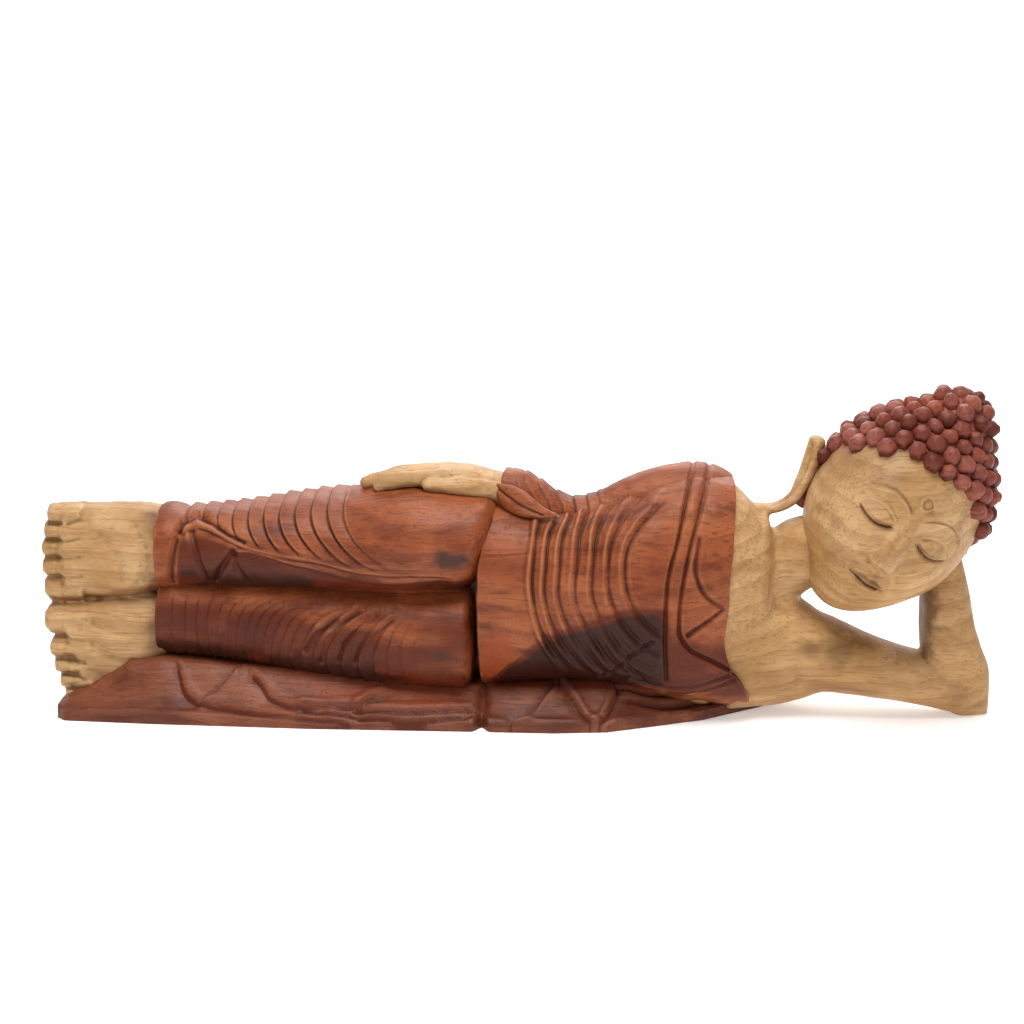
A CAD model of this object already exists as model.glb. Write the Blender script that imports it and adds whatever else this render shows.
# %% [markdown]
# # A reclining Buddha carved from one block of wood
# The statue is one carved block: pale bare wood for the skin, a red-brown stain on the robe,
# the hair and the cloth spread under it. Each cell below carves one region as a surface, or
# stains it. All forms are written in millimetres along the statue, feet at -X and head at +X,
# and are turned into metres when the mesh is made.

import itertools
import math

import bpy
import numpy as np
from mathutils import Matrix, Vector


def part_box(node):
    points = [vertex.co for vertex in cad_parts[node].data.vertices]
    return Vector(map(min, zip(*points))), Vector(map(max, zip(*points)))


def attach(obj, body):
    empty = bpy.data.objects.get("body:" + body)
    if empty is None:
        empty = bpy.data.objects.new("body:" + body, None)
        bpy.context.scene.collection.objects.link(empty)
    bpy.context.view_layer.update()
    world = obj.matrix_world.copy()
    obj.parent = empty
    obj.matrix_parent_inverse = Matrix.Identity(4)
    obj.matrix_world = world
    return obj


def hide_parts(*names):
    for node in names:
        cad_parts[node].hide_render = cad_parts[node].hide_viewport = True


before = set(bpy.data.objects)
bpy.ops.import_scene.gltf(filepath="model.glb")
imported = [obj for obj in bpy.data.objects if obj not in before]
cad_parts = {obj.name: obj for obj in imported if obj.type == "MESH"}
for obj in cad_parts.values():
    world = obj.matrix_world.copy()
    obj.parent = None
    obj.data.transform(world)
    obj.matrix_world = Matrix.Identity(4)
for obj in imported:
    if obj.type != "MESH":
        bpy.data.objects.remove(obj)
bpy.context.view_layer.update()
NODE = "reclining_buddha"
block_low, block_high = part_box(NODE)
SHIFT = np.array([4.386, 0.557, 0.0])  # from the figure's own origin to the middle of its footprint
print("solid box, mm:", [round(v * 1000, 1) for v in (*block_low, *block_high)])

# %% [markdown]
# ## Curves and soft steps
# Cloth and limbs have no straight edges, so every form starts from a smooth curve through a
# few measured stations. A soft step is the polynomial 3t^2 - 2t^3, which leaves no crease at
# either end. It could be done with curve objects, but arrays let one formula carve thousands
# of points at once.

# %% Curves and soft steps


def smooth(low, high, value):
    """0 below low, 1 above high, and 3t^2 - 2t^3 between them."""
    t = np.clip((value - low) / (high - low), 0.0, 1.0)
    return t * t * (3.0 - 2.0 * t)


def ridge(value, middle, width):
    """1 at the middle and exp(-((value - middle) / width)^2) beside it."""
    return np.exp(-(((value - middle) / width) ** 2))


def unit_rows(vectors):
    """Each vector divided by its own length."""
    return vectors / np.maximum(np.linalg.norm(vectors, axis=-1, keepdims=True), 1e-12)


def curve_through(rows, count):
    """A cubic Hermite curve through rows of numbers, its knots spaced by the distance between rows."""
    rows = np.asarray(rows, float)
    steps = np.linalg.norm(np.diff(rows[:, :3], axis=0), axis=1)
    knots = np.concatenate([[0.0], np.cumsum(steps)])
    slopes = np.gradient(rows, knots, axis=0)
    at = np.linspace(0.0, knots[-1], count)
    k = np.clip(np.searchsorted(knots, at, side="right") - 1, 0, len(knots) - 2)
    span = (knots[k + 1] - knots[k])[:, None]
    t = (at[:, None] - knots[k][:, None]) / span
    return (
        (2 * t**3 - 3 * t**2 + 1) * rows[k]
        + (t**3 - 2 * t**2 + t) * span * slopes[k]
        + (3 * t**2 - 2 * t**3) * rows[k + 1]
        + (t**3 - t**2) * span * slopes[k + 1]
    )


def cell_noise(points, size, seed=0):
    """Smooth random numbers from -1 to 1 that change over about size millimetres.

    Each corner of a grid of cells gets a number from a whole-number hash, and a point takes the
    mean of its cell's eight corners, each weighted by how near it is along every axis.
    """
    scaled = np.asarray(points) / size + 37.7 * (seed + 1)
    base = np.floor(scaled).astype(np.int64)
    part = scaled - base
    part = part * part * (3.0 - 2.0 * part)
    total = np.zeros(scaled.shape[:-1])
    for corner in itertools.product((0, 1), repeat=3):
        cell = base + np.array(corner)
        mixed = (cell[..., 0] * 73856093) ^ (cell[..., 1] * 19349663) ^ (cell[..., 2] * 83492791)
        mixed = ((mixed ^ (mixed >> 13)) * 1274126177) & 0x7FFFFFFF
        weight = np.where(np.array(corner) == 1, part, 1.0 - part).prod(axis=-1)
        total += weight * (mixed / 0x3FFFFFFF - 1.0)
    return total


print("a soft step halfway:", float(smooth(0, 1, np.array(0.5))))

# %% [markdown]
# ## Limbs as lofts
# A limb, a torso or a toe is a tube of rings along a curve. Each ring is a superellipse,
# |y/a|^n + |z/b|^n = 1, which goes from an ellipse at n = 2 to a rounded block at n = 4. That is
# how a carver works too: the block is squared first, then its corners are rounded. The ends
# close in a quarter of the same superellipse.

# %% Limbs as lofts
FRONT_CROWDING = 0.35  # how much closer points stand on the front than on the back
LEAST_CAP_RINGS, RINGS_PER_CAP_RING = 8, 24  # a long limb of many rings gets more rings in its caps
CAP_STOP = 0.992  # share of a cap's quarter turn at its last small ring


def ring_angles(sides, crowding):
    """Angles round a ring that crowd together towards the front, where angle 0 faces +Y."""
    even = np.linspace(0.0, 2 * math.pi, sides, endpoint=False)
    return even + crowding * np.sin(even)


def limb_grid(
    stations, caps=(8, 8), square=2.0, blunt=2.0, turn=0.0, rings=60, sides=64, bend=None, crowding=0.0
):
    """Rings of points along a smooth path through stations of (x, y, z, half depth, half height).

    A ring's point at angle t is half depth times cos(t)^(2/square) across and half height times
    sin(t)^(2/square) up. A cap's rings shrink and step out in the same way, with the power 2/blunt.
    """
    rows = curve_through(stations, rings)
    path = rows[:, :3]
    tangent = unit_rows(np.gradient(path, axis=0))
    depth_axis = unit_rows(np.array([0.0, 1.0, 0.0]) - tangent[:, 1:2] * tangent)
    height_axis = np.cross(tangent, depth_axis)
    cap_rings = max(LEAST_CAP_RINGS, rings // RINGS_PER_CAP_RING)
    cap_turns = np.linspace(0.0, math.pi / 2, cap_rings + 1)[1:] * CAP_STOP
    reach, shrink = np.sin(cap_turns) ** (2 / blunt), np.cos(cap_turns) ** (2 / blunt)
    centre = np.vstack([
        path[0] - np.outer(reach[::-1] * caps[0], tangent[0]),
        path,
        path[-1] + np.outer(reach * caps[1], tangent[-1]),
    ])
    size = np.vstack([np.outer(shrink[::-1], rows[0, 3:5]), rows[:, 3:5], np.outer(shrink, rows[-1, 3:5])])
    ends = (cap_rings, cap_rings)
    depth_axis = np.pad(depth_axis, (ends, (0, 0)), mode="edge")
    height_axis = np.pad(height_axis, (ends, (0, 0)), mode="edge")
    angle = ring_angles(sides, crowding)
    c, s = np.cos(angle), np.sin(angle)
    flat, tall = np.sign(c) * np.abs(c) ** (2 / square), np.sign(s) * np.abs(s) ** (2 / square)
    across = flat * math.cos(turn) - tall * math.sin(turn)
    upward = flat * math.sin(turn) + tall * math.cos(turn)
    grid = (
        centre[:, None]
        + depth_axis[:, None] * (size[:, :1] * across)[..., None]
        + height_axis[:, None] * (size[:, 1:] * upward)[..., None]
    )
    return grid if bend is None else bend(grid)


def grid_normals(grid):
    """Outward normals of a grid of rings: the cross product of its two directions."""
    along = np.gradient(grid, axis=0)
    around = (np.roll(grid, -1, axis=1) - np.roll(grid, 1, axis=1)) / 2
    return unit_rows(np.cross(around, along))


def closed_loft(grid):
    """Points, quads and triangles of a tube through the rings, with a fan closing each end."""
    rings, sides = grid.shape[:2]
    index = np.arange(rings * sides).reshape(rings, sides)
    turned = np.roll(index, -1, axis=1)
    quads = np.stack([index[:-1], turned[:-1], turned[1:], index[1:]], axis=-1).reshape(-1, 4)
    points = np.vstack([grid.reshape(-1, 3), grid[0].mean(axis=0), grid[-1].mean(axis=0)])
    first, last = np.full(sides, rings * sides), np.full(sides, rings * sides + 1)
    fans = [np.stack([first, turned[0], index[0]], axis=-1), np.stack([last, index[-1], turned[-1]], axis=-1)]
    return points, quads, np.vstack(fans)


print("a ring of 8 crowded angles, degrees:", np.degrees(ring_angles(8, FRONT_CROWDING)).round())

# %% [markdown]
# ## Cuts of the gouge
# Three cuts make all the folds: a V-groove along a drawn line, a ledge where one cloth lies
# over another, and rows of overlapping shingles. Each is a height over the front view, added
# along the surface's own normal.

# %% Cuts of the gouge
FOLD_RISE, FOLD_FALL, FALL_POWER = 0.16, 0.75, 1.3  # share of a fold that rises, and its fall
LIP_START, LIP_DROP = 0.9, 0.25  # where a fold's last edge begins, and how far it drops
FOLD_MEAN = 0.35  # taken off, so that folds don't swell the limb
HANDWORK, HANDWORK_SIZE = 0.35, 7.0  # mm of unevenness that the gouge leaves, and its size
LEDGE_IN, LEDGE_OUT, LEDGE_EDGE = 3, 12, 1.6  # mm in which a ledge begins and ends, and its edge's width
SEEN_FROM, SEEN_TO = 0.75, 0.1  # the normal's Y where carving has faded out, and where it is full





def side_of(u, v, points):
    """Distance of each (u, v) from a line drawn through points, above 0 on the line's right."""
    nearest, signed = np.full(np.shape(u), 1e9), np.zeros(np.shape(u))
    for (au, av), (bu, bv) in zip(points[:-1], points[1:]):
        du, dv = bu - au, bv - av
        t = np.clip(((u - au) * du + (v - av) * dv) / (du * du + dv * dv), 0.0, 1.0)
        away = np.hypot(u - au - t * du, v - av - t * dv)
        right = np.where((u - au) * dv - (v - av) * du > 0, 1.0, -1.0)
        signed = np.where(away < nearest, away * right, signed)
        nearest = np.minimum(nearest, away)
    return signed


def distance_to(u, v, points):
    """Distance of each (u, v) from a line drawn through points."""
    return np.abs(side_of(u, v, points))


def stroke(u, v, points, width):
    """1 on a drawn line and exp(-(distance / width)^2) beside it."""
    return ridge(distance_to(u, v, points), 0.0, width)


def rounded(points, count=40):
    """The same line as a smooth curve of count points."""
    flat = [(a, b, 0.0) for a, b in points]
    return [tuple(p[:2]) for p in curve_through(flat, count)]


def deepest(u, v, lines, width):
    """The deepest of the strokes along several smooth lines, so that crossing grooves don't add up."""
    depth = np.zeros(np.shape(u))
    for line in lines:
        depth = np.maximum(depth, stroke(u, v, rounded(line), width))
    return depth


def under_ledge(u, v, points, drop, fade):
    """A sudden drop just below a line v = f(u), fading back over the distance fade."""
    us, vs = np.array(points).T
    below = np.interp(u, us, vs) - v
    inside = smooth(us[0] - 1, us[0] + LEDGE_IN, u) * smooth(us[-1] + 1, us[-1] - LEDGE_OUT, u)
    return -drop * inside * smooth(-0.3, LEDGE_EDGE, below) * np.exp(-np.maximum(below, 0) / fade)


def shingles(phase):
    """Overlapping folds, one for each whole number of phase: a sharp rise, then a long slope down."""
    t = phase - np.floor(phase)
    slope = 1.0 - FOLD_FALL * t**FALL_POWER
    return smooth(0.0, FOLD_RISE, t) * slope - LIP_DROP * smooth(LIP_START, 1.0, t) - FOLD_MEAN


def front(normal):
    """1 where a surface faces the front or the sky, fading out round the back."""
    return smooth(SEEN_FROM, SEEN_TO, normal[..., 1])


def squarely_front(normal):
    """1 where a surface plainly faces the front, 0 on the back."""
    return smooth(0.3, -0.2, normal[..., 1])


print("shingle heights over one fold:", shingles(np.linspace(0, 0.99, 5)).round(2))

# %% [markdown]
# ## From points to a mesh
# Blender's own modelling tools would need thousands of strokes for this relief, so a mesh is
# filled straight from arrays. All work is done in millimetres from the figure's own origin, and
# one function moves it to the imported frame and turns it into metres.

# %% From points to a mesh


def set_points(mesh, points):
    """Puts points given in figure millimetres into a mesh, the lowest ones on the sawn underside."""
    points = points + SHIFT
    points[:, 2] = np.maximum(points[:, 2], 0.0)
    mesh.vertices.foreach_set("co", (points / 1000.0).ravel())


def mesh_from(name, points, quads, triangles):
    """A smooth-shaded mesh from points in figure millimetres and arrays of quads and triangles."""
    mesh = bpy.data.meshes.new(name)
    mesh.vertices.add(len(points))
    set_points(mesh, points)
    corners = np.concatenate([np.ravel(quads), np.ravel(triangles)]).astype(np.int32)
    mesh.loops.add(len(corners))
    mesh.loops.foreach_set("vertex_index", corners)
    starts = np.concatenate([
        np.arange(len(quads)) * 4,
        len(quads) * 4 + np.arange(len(triangles)) * 3,
    ]).astype(np.int32)
    mesh.polygons.add(len(starts))
    mesh.polygons.foreach_set("loop_start", starts)
    mesh.update(calc_edges=True)
    mesh.validate()
    mesh.polygons.foreach_set("use_smooth", np.ones(len(mesh.polygons), bool))
    return mesh


def arrays_of(mesh):
    """A mesh's points in figure millimetres, their normals and its edges."""
    points, normals = np.empty(len(mesh.vertices) * 3), np.empty(len(mesh.vertices) * 3)
    edges = np.empty(len(mesh.edges) * 2, np.int32)
    mesh.vertices.foreach_get("co", points)
    mesh.vertex_normals.foreach_get("vector", normals)
    mesh.edges.foreach_get("vertices", edges)
    return points.reshape(-1, 3) * 1000.0 - SHIFT, normals.reshape(-1, 3), edges.reshape(-1, 2)


def neighbour_mean(values, edges, count):
    """The mean of each point's neighbours along the mesh's edges."""
    a, b = edges.T
    total = np.bincount(a, values[b], count) + np.bincount(b, values[a], count)
    return total / np.maximum(np.bincount(a, minlength=count) + np.bincount(b, minlength=count), 1)


print("helpers for meshes ready")

# %% [markdown]
# ## Wear on edges and in hollows
# On handled wood the edges are rubbed pale, and the hollows keep stain and dust. A shader can't see
# an edge in every renderer, so the wear is measured on the mesh and kept as a number at each point.

# %% Wear on edges and in hollows
FINE_ROUNDS, BROAD_ROUNDS = 5, 60  # rounds of evening out that keep, and that lose, a fold's edge
LEAST_SQUARE = 0.02  # square millimetres between neighbours that touch almost


def worn_amount(points, normals, edges):
    """How sharply each point stands out of its surroundings, in curvature per millimetre.

    The distance of a point from the mean of its neighbours, divided by the square of the distance
    between them, is a curvature. A broad round end isn't an edge, so the same curvature evened
    out over a wide area is taken off again.
    """
    count = len(points)
    around = np.stack([neighbour_mean(points[:, k], edges, count) for k in range(3)], axis=1)
    gap = points[edges[:, 0]] - points[edges[:, 1]]
    squares = (gap * gap).sum(axis=1)
    total = np.bincount(edges[:, 0], squares, count) + np.bincount(edges[:, 1], squares, count)
    number = np.bincount(edges.ravel(), minlength=count)
    out = ((points - around) * normals).sum(axis=1) / np.maximum(total / np.maximum(number, 1), LEAST_SQUARE)
    for _ in range(FINE_ROUNDS):
        out = 0.5 * out + 0.5 * neighbour_mean(out, edges, count)
    broad = out
    for _ in range(BROAD_ROUNDS):
        broad = 0.5 * broad + 0.5 * neighbour_mean(broad, edges, count)
    return out - broad


def add_values(mesh, name, values):
    """A number at each point of the mesh, for its material."""
    layer = mesh.attributes.new(name, "FLOAT", "POINT")
    layer.data.foreach_set("value", np.asarray(values, np.float32))


print("rounds of evening out:", FINE_ROUNDS, "and", BROAD_ROUNDS)

# %% [markdown]
# ## Areas of stain and knots
# The robe's stain isn't even. The wood of the waist is nearly black below a slanting line, with a
# rust-orange leaf of cloth beside it, and small grey knots sit on the thigh and the shin. The
# lower leg took more stain than the thigh, and the wood that faces down is darker than the wood
# that faces the light. An image could hold this, but soft distances from a few drawn lines are
# lighter and stay sharp, so each area is one of those, over the front view in x and z.

# %% Areas of stain and knots
DARK_EDGE = [(-30, 15), (-22, 21), (-6, 38), (19, 58), (39, 68), (55, 74), (74, 76), (91, 76)]
DARK_HEM = [(-216, 103), (-178, 103), (-154, 101), (-125, 94), (-96, 87), (-60, 89), (-38, 91)]
SHADED_HEM = [(-212, 115), (-200, 119), (-179, 112), (-154, 105), (-118, 100), (-82, 94), (-39, 94)]
BETWEEN_LEGS = [(-230, 80), (-36, 84)]
LEAF_X, LEAF_Z, LEAF_RADIUS, LEAF_TALL = -12, 42, 12, 1.5  # the orange leaf of cloth, longer than wide
EDGE_WANDER, EDGE_WANDER_SIZE = 3.0, 13.0  # how far, and over what length, a stain's edge wanders
UNDERSIDE_STAIN, RUST_AMOUNT = 0.25, 0.35
LEG_STAIN, LEG_STAIN_LIMIT, ANKLE_STAIN = 0.72, 0.7, 0.38
KNOTS = [  # x, z, half length, half height, strength
    (-41, 105, 14, 6, 0.9),
    (-46, 46, 12, 5, 0.6),
    (-112, 61, 9, 3.5, 0.5),
    (200, 91, 3.4, 2.6, 0.55),
    (221, 83, 3.0, 2.2, 0.5),
    (204, 75, 7.0, 3.6, 0.35),
    (272, 17, 11, 10, 0.25),
    (196, 46, 22, 11, 0.42),
    (252, 68, 9, 36, 0.62),
]


def stain_amount(points, normals):
    """Dark below 0 and orange above 0: minus 1 below the slanting line, plus 0.9 on the leaf."""
    x, z = points[:, 0], points[:, 2]
    below = np.interp(x, *np.array(DARK_EDGE).T) - z + EDGE_WANDER * cell_noise(points, EDGE_WANDER_SIZE, 3)
    amount = -1.0 * smooth(-7, 8, below) * smooth(-26, -12, x) * smooth(95, 85, x) * smooth(18, 30, z)
    leaf = smooth(3, -3, np.hypot(x - LEAF_X, (z - LEAF_Z) / LEAF_TALL) - LEAF_RADIUS)
    amount += 0.9 * leaf * smooth(-2, -6, below)
    amount *= squarely_front(normals)
    amount -= UNDERSIDE_STAIN * smooth(-0.15, -0.7, normals[:, 2]) * smooth(12, 20, z)
    rust = cell_noise(points * (0.4, 1, 1), 15.0, 23)
    return amount + RUST_AMOUNT * smooth(0.15, 0.7, rust) * smooth(-0.1, 0.0, amount)


def leg_shade(points, normals):
    """Darker below 0, down the lower leg's shin and in two steps below the upper leg's hems."""
    x, z = points[:, 0], points[:, 2]
    uneven = 1.0 + 0.8 * cell_noise(points * (0.45, 1, 1), 10.0, 21)
    shin = (0.2 + 0.8 * smooth(80, 52, z)) * (1.0 - 0.5 * smooth(-115, -60, x))
    below_dark = np.interp(x, *np.array(DARK_HEM).T) - z
    below_shaded = np.interp(x, *np.array(SHADED_HEM).T) - z
    thigh_low = smooth(-216, -210, x) * (0.7 * smooth(0, 7, below_shaded) + 0.4 * smooth(0, 10, below_dark))
    upper = z > np.interp(x, *np.array(BETWEEN_LEGS).T)
    return np.maximum(-LEG_STAIN * uneven * np.where(upper, thigh_low, shin), -LEG_STAIN_LIMIT)


def body_stain(points, normals):
    """Dark stain in the foot of each V-groove, and over the folded corner at the bottom of the bands."""
    x, z = points[:, 0], points[:, 2]
    corner = smooth(80, 48, z) * smooth(88, 94, x) * smooth(14, 24, z)
    return -(0.28 * deepest(x, z, SHARP_LINES, 1.1) + 0.48 * corner) * squarely_front(normals)


def ankle_stain(points, normals):
    """Brown that ran from the robe's hem on to the bare ankles, and grime under the lower foot."""
    x, z = points[:, 0], points[:, 2]
    uneven = 0.7 + 0.6 * cell_noise(points, 12.0, 31)
    hem = smooth(-246, -227, x)
    under = smooth(46, 14, z) * smooth(-262, -232, x)
    between = ridge(z, 70.0, 4.0)
    return -ANKLE_STAIN * uneven * np.clip(hem + 0.9 * under + 0.5 * between, 0, 1.3)


def knot_amount(points, normals):
    """1 inside a knot and 0 outside: a soft step of the distance in half lengths and half heights."""
    x, z = points[:, 0], points[:, 2]
    wobble = 0.35 * cell_noise(points, 4.0, 5) + 0.3 * cell_noise(points, 11.0, 6)
    amount = np.zeros(len(points))
    for kx, kz, wide, tall, strength in KNOTS:
        away = np.hypot((x - kx) / wide, (z - kz) / tall) + wobble
        amount = np.maximum(amount, strength * smooth(1.15, 0.3, away))
    return amount * smooth(0.6, 0.0, normals[:, 1])


print(len(KNOTS), "knots")

# %% [markdown]
# ## Nodes of a material
# A material is a tree of nodes. One helper adds a node, sets it and links it, so a recipe reads as
# a list of steps. Colours are written as sRGB hex values, as a paint chart gives them, and are
# turned linear once.

# %% Nodes of a material


def linear(code):
    """An sRGB colour such as "#A05A3C" as linear red, green, blue and alpha 1."""
    parts = [int(code[i:i + 2], 16) / 255 for i in (1, 3, 5)]
    return (*[v / 12.92 if v <= 0.04045 else ((v + 0.055) / 1.055) ** 2.4 for v in parts], 1.0)


def add_node(tree, kind, settings=None, inputs=None):
    """Adds a node, sets its settings, and fills inputs with values or links."""
    node = tree.nodes.new(kind)
    for key, value in (settings or {}).items():
        setattr(node, key, value)
    for key, value in (inputs or {}).items():
        if isinstance(value, bpy.types.NodeSocket):
            tree.links.new(value, node.inputs[key])
        else:
            node.inputs[key].default_value = value
    return node


print("linear red of #A05A3C:", round(linear("#A05A3C")[0], 3))

# %% [markdown]
# ## Grain of the wood
# The real surface is carved hardwood, rubbed smooth and waxed. To the eye it has growth rings round
# the log's heart, long fibres, open pores, and broad blotches and streaks. A photographed texture
# would stretch over the folds, so the grain is solid: it follows the log, which lies along X, and
# runs on from piece to piece as it does in one block.

# %% Grain of the wood
GRAIN_WARP, WANDERS_PER_METRE = 0.010, 9.0  # the grain wanders by 10 mm over about 110 mm
RING_GAP, RING_WAVE = 0.0105, 0.314  # metres between growth rings, and between rings of a wave of scale 1
RING_SHAPE = {"Scale": RING_WAVE / RING_GAP, "Distortion": 4.5, "Detail": 3.0, "Detail Scale": 0.5}
HEART = (0.0, 0.045, -0.060)  # a point on the log's heart, in metres
GRAIN = {  # repeats in a metre along X, Y and Z, detail, roughness
    "blotch": ((26.0, 26.0, 26.0), 4.0, 0.60),  # about 38 mm wide
    "streak": ((11.0, 62.0, 62.0), 5.0, 0.62),  # about 90 mm long and 16 mm wide
    "fibre": ((30.0, 620.0, 620.0), 3.0, 0.60),  # about 33 by 1.6 mm, coarser than real ones, to show
}
PORES_PER_METRE = (330.0, 1150.0, 1150.0)  # open pores about 3 mm long and 0.9 mm wide
PORE_EDGE, PORE_MIDDLE = 0.28, 0.10  # distances in which a pore fades in
PORE_FROM, PORE_TO = 0.45, 0.75  # only about half the cells hold a pore
SOFT_STEP = {"interpolation_type": "SMOOTHSTEP"}


def wood_grain(tree):
    """How much of each kind of grain, pore, wear, stain and knot there is at a point, as sockets."""
    place = add_node(tree, "ShaderNodeTexCoord").outputs["Object"]
    noise = {"Vector": place, "Scale": WANDERS_PER_METRE, "Detail": 2.0}
    bent = add_node(tree, "ShaderNodeTexNoise", None, noise).outputs["Color"]
    for operation, inputs in (
        ("SUBTRACT", {1: (0.5, 0.5, 0.5)}),
        ("SCALE", {"Scale": GRAIN_WARP * 2}),
        ("ADD", {1: place}),
    ):
        inputs = {0: bent, **inputs}
        bent = add_node(tree, "ShaderNodeVectorMath", {"operation": operation}, inputs).outputs[0]
    heart = {0: bent, 1: HEART}
    heart = add_node(tree, "ShaderNodeVectorMath", {"operation": "SUBTRACT"}, heart).outputs[0]
    rings = {"wave_type": "RINGS", "rings_direction": "X", "wave_profile": "SAW"}
    rings = add_node(tree, "ShaderNodeTexWave", rings, {"Vector": heart, **RING_SHAPE})
    grain = {"ring": rings.outputs["Fac"]}
    for kind, (per_metre, detail, grit) in GRAIN.items():
        scaled = {0: bent, 1: per_metre}
        scaled = add_node(tree, "ShaderNodeVectorMath", {"operation": "MULTIPLY"}, scaled).outputs[0]
        noise = {"Vector": scaled, "Scale": 1.0, "Detail": detail, "Roughness": grit}
        grain[kind] = add_node(tree, "ShaderNodeTexNoise", None, noise).outputs["Fac"]
    for kind in ("worn", "stain", "knot"):
        grain[kind] = add_node(tree, "ShaderNodeAttribute", {"attribute_name": kind}).outputs["Fac"]
    cells = {0: bent, 1: PORES_PER_METRE}
    cells = add_node(tree, "ShaderNodeVectorMath", {"operation": "MULTIPLY"}, cells).outputs[0]
    pore = add_node(tree, "ShaderNodeTexVoronoi", None, {"Vector": cells, "Scale": 1.0})
    pick = add_node(tree, "ShaderNodeSeparateColor", None, {0: pore.outputs["Color"]}).outputs[0]
    near = {0: pore.outputs["Distance"], 1: PORE_EDGE, 2: PORE_MIDDLE}
    near = add_node(tree, "ShaderNodeMapRange", SOFT_STEP, near).outputs[0]
    chosen = {0: pick, 1: PORE_FROM, 2: PORE_TO}
    chosen = add_node(tree, "ShaderNodeMapRange", SOFT_STEP, chosen).outputs[0]
    pore = {0: near, 1: chosen}
    grain["pore"] = add_node(tree, "ShaderNodeMath", {"operation": "MULTIPLY"}, pore).outputs[0]
    return grain


print("kinds of grain:", sorted(GRAIN))

# %% [markdown]
# ## Waxed and stained wood
# A thin wax film gives the wood a satin sheen that breaks up over the fibres. Each layer of colour
# covers the ones before it by its share: blotches, late wood, streaks and fibres, then rubbed edges
# and dusty hollows, then the stains, the knots and the pores.

# %% Waxed and stained wood
SHEEN, BUMP_SHARE, BUMP_DEPTH = 0.24, 0.55, 0.0005  # a thin wax film, and fibres at most 0.5 mm deep
BROWN_STAIN, BLACK_STAIN, RUST_STAIN, KNOT_WOOD = "#541B08", "#2D140B", "#9A4420", "#3B241E"


def wood(name, colours, roughness, rings=0.4, edge_share=0.6, pores=0.8, hollow_share=0.8, bands=0.85):
    """Waxed wood from five hex colours: pale early wood, mid, deep late wood, hollows, rubbed edges."""
    pale, mid, deep, hollow, edge = (linear(code) for code in colours)
    material = bpy.data.materials.new(name)
    material.use_nodes = True
    tree = material.node_tree
    shader = tree.nodes["Principled BSDF"]
    grain = wood_grain(tree)
    layers = []
    for kind, low, high, share, tint in (  # the share grows from none at low to its most at high
        ("blotch", 0.34, 0.66, 1.0, pale),
        ("ring", 0.25, 1.0, 0.75 * rings, deep),
        ("streak", 0.47, 0.70, bands, deep),
        ("fibre", 0.48, 0.72, 0.6, deep),
        ("worn", 0.010, 0.14, edge_share, edge),
        ("worn", -0.010, -0.11, hollow_share, hollow),
        ("stain", -0.05, -0.50, 0.86, linear(BROWN_STAIN)),
        ("stain", -0.58, -0.95, 0.86, linear(BLACK_STAIN)),
        ("stain", 0.1, 1.0, 0.75, linear(RUST_STAIN)),
    ):
        amount = {0: grain[kind], 1: low, 2: high, 4: share}
        layers.append((add_node(tree, "ShaderNodeMapRange", SOFT_STEP, amount).outputs[0], tint))
    dots = {0: grain["pore"], 1: pores}
    dots = add_node(tree, "ShaderNodeMath", {"operation": "MULTIPLY"}, dots).outputs[0]
    layers += [(grain["knot"], linear(KNOT_WOOD)), (dots, hollow)]
    colour = mid
    for amount, tint in layers:
        mix = {0: amount, 6: colour, 7: tint}
        colour = add_node(tree, "ShaderNodeMix", {"data_type": "RGBA"}, mix).outputs[2]
    tree.links.new(colour, shader.inputs["Base Color"])
    shader.inputs["Roughness"].default_value = roughness
    shader.inputs["Specular IOR Level"].default_value = SHEEN
    height = {0: grain["fibre"], 1: grain["pore"]}
    height = add_node(tree, "ShaderNodeMath", {"operation": "SUBTRACT"}, height).outputs[0]
    relief = {"Height": height, "Strength": BUMP_SHARE, "Distance": BUMP_DEPTH}
    tree.links.new(add_node(tree, "ShaderNodeBump", None, relief).outputs[0], shader.inputs["Normal"])
    return material


print("sheen:", SHEEN, "and depth of the fibres in mm:", BUMP_DEPTH * 1000)

# %% [markdown]
# ## Four finishes of one wood
# The robe, the cloth on the ground and the curls took a red-brown stain under the wax, each a
# little differently. The skin has wax only, and its pores and rings show softly.

# %% Four finishes of one wood
ROBE = wood("stained_robe", ("#A55C36", "#8A4424", "#5C2512", "#240E09", "#B67650"), 0.42)
CLOTH = wood("stained_cloth", ("#8E5239", "#753D29", "#522414", "#22100B", "#A36E54"), 0.44, bands=0.7)
HAIR = wood(
    "stained_hair", ("#A05A4A", "#803F31", "#56261D", "#24100D", "#B4786A"), 0.44, edge_share=0.4, pores=0.3
)
SKIN = wood(
    "bare_wood", ("#CFA777", "#B88D59", "#8E6338", "#5A3B22", "#DDBA8C"), 0.46,
    rings=0.42, edge_share=0.3, pores=0.4, hollow_share=0.55, bands=0.5,
)
print("woods:", [m.name for m in (ROBE, CLOTH, HAIR, SKIN)])

# %% [markdown]
# ## Putting a piece in place
# Each piece of the visual model rides on the statue's one body and stands for the statue's one
# solid.

# %% Putting a piece in place
TRIANGLE_COUNTS = {}


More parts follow.
